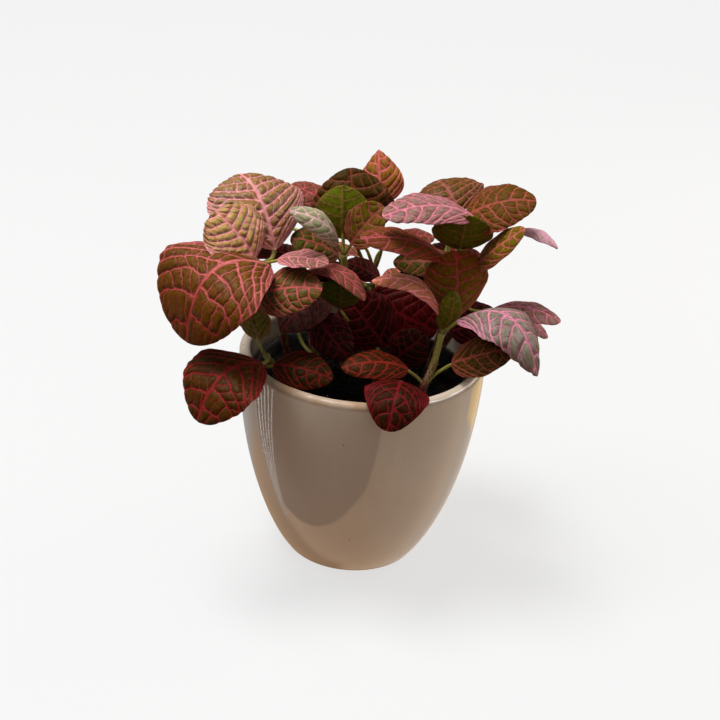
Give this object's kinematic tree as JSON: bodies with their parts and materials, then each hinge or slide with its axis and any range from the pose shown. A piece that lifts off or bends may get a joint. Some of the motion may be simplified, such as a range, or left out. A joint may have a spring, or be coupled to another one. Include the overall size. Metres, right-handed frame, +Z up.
{
  "type": "potted nerve plant",
  "caption": "Nerve plant with pink-veined leaves on short stems, in soil in a grower's pot inside a tapered glossy ceramic cover pot.",
  "frame": {"origin": "centre of the cover pot's flat foot, on the surface it stands on", "axes": "+Z up along the pot's axis; -Y is the side that shows the leaf over the rim; +X is to the right of that side"},
  "size_m": [0.2029, 0.1656, 0.2123],
  "materials": {
    "glaze": "gloss",
    "black_plastic": "matte",
    "potting_mix": "matte",
    "leaf": "satin"
  },
  "bodies": {
    "root": {"cover_pot": "glaze", "growers_pot": "black_plastic", "soil": "potting_mix", "stem_left": "leaf", "stem_left_low": "leaf", "stem_middle": "leaf", "stem_middle_back": "leaf", "stem_right": "leaf", "stem_right_low": "leaf", "stem_front": "leaf", "stem_middle_low": "leaf", "stem_left_middle": "leaf", "stem_right_back": "leaf", "stem_back_left": "leaf", "stem_back": "leaf", "stem_back_right": "leaf"}
  },
  "joints": []
}
